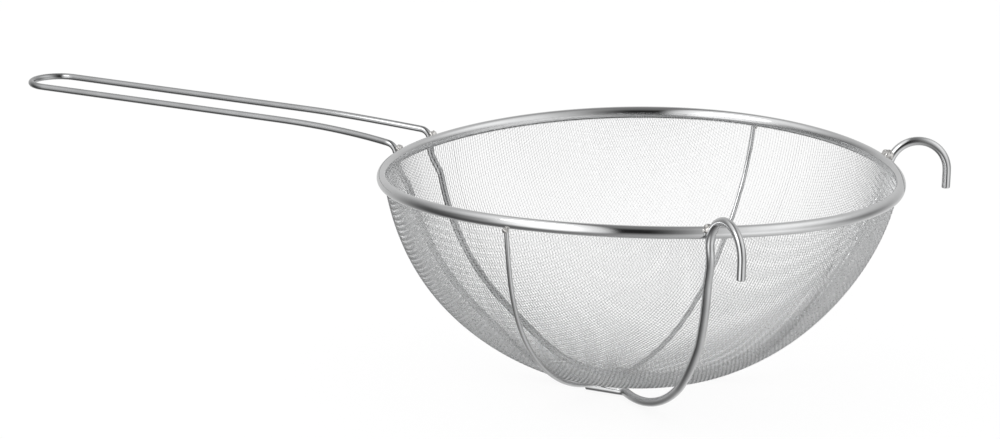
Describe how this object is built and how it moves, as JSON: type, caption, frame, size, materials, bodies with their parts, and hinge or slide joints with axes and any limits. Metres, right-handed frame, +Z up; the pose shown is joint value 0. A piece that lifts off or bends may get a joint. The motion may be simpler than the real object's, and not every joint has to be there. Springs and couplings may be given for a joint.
{
  "type": "wire mesh colander",
  "caption": "Round wire-mesh bowl strainer with a rolled rim, a long looped wire handle, wire feet and two hooks to rest it across a pot or sink.",
  "frame": {"origin": "bottom centre of the bounding box, on the ground that the wire feet stand on", "axes": "+Z up out of the bowl's mouth; the handle points along -X and the hooks stand on the +X side; +Y completes the right-handed set"},
  "size_m": [0.4978, 0.2608, 0.1229],
  "materials": {
    "mesh": "fine plain-woven wire cloth",
    "rim": "polished",
    "wire": "bright drawn wire",
    "weld": "rough, slightly heat-tinted"
  },
  "bodies": {
    "root": {"mesh_bowl": "mesh", "rim_band": "rim", "rim_core_wire": "wire", "rib_wire": "wire", "handle_wire": "wire", "hook_wire_front": "wire", "hook_wire_rear": "wire", "handle_weld_front": "weld", "handle_weld_rear": "weld", "hook_weld_front": "weld", "hook_weld_rear": "weld", "rib_weld_front": "weld", "rib_weld_rear": "weld", "lap_weld_front": "weld", "lap_weld_rear": "weld", "crossing_weld_front": "weld", "crossing_weld_rear": "weld"}
  },
  "joints": []
}
